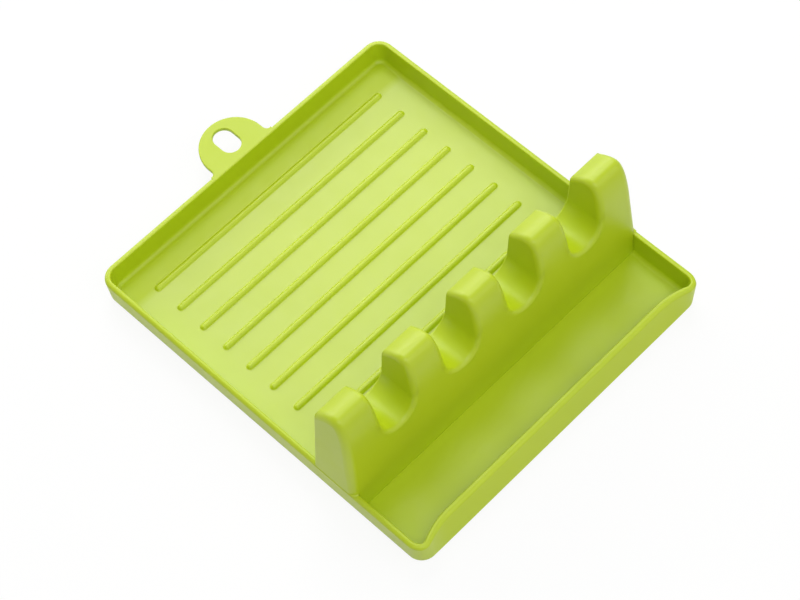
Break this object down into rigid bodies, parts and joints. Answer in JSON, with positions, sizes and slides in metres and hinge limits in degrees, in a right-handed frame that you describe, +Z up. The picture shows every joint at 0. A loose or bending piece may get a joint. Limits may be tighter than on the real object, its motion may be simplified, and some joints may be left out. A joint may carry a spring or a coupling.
{
  "type": "spoon rest",
  "caption": "Square drip tray with a ribbed floor, raised rim, hanging tab and soft feet, and a lift-off notched rack across it that holds the handles of cooking utensils.",
  "frame": {"origin": "on the table, under the middle of the whole part, hanging tab included", "axes": "+X along the rack to the right, +Y away from the front lip towards the hanging tab, +Z up"},
  "size_m": [0.175, 0.2146, 0.064],
  "materials": {
    "tray_plastic": "satin lime green polypropylene",
    "rack_plastic": "satin lime green polypropylene",
    "foot_rubber": "matt translucent grey"
  },
  "bodies": {
    "tray": {"drip_tray": "tray_plastic", "foot_front_left": "foot_rubber", "foot_front_right": "foot_rubber", "foot_back_left": "foot_rubber", "foot_back_right": "foot_rubber"},
    "rack": {"utensil_rack": "rack_plastic"}
  },
  "joints": [
    {"name": "rack_lift", "type": "slide", "parent": "tray", "child": "rack", "axis": [0, 0, 1], "range_m": [0, 0.05]}
  ]
}
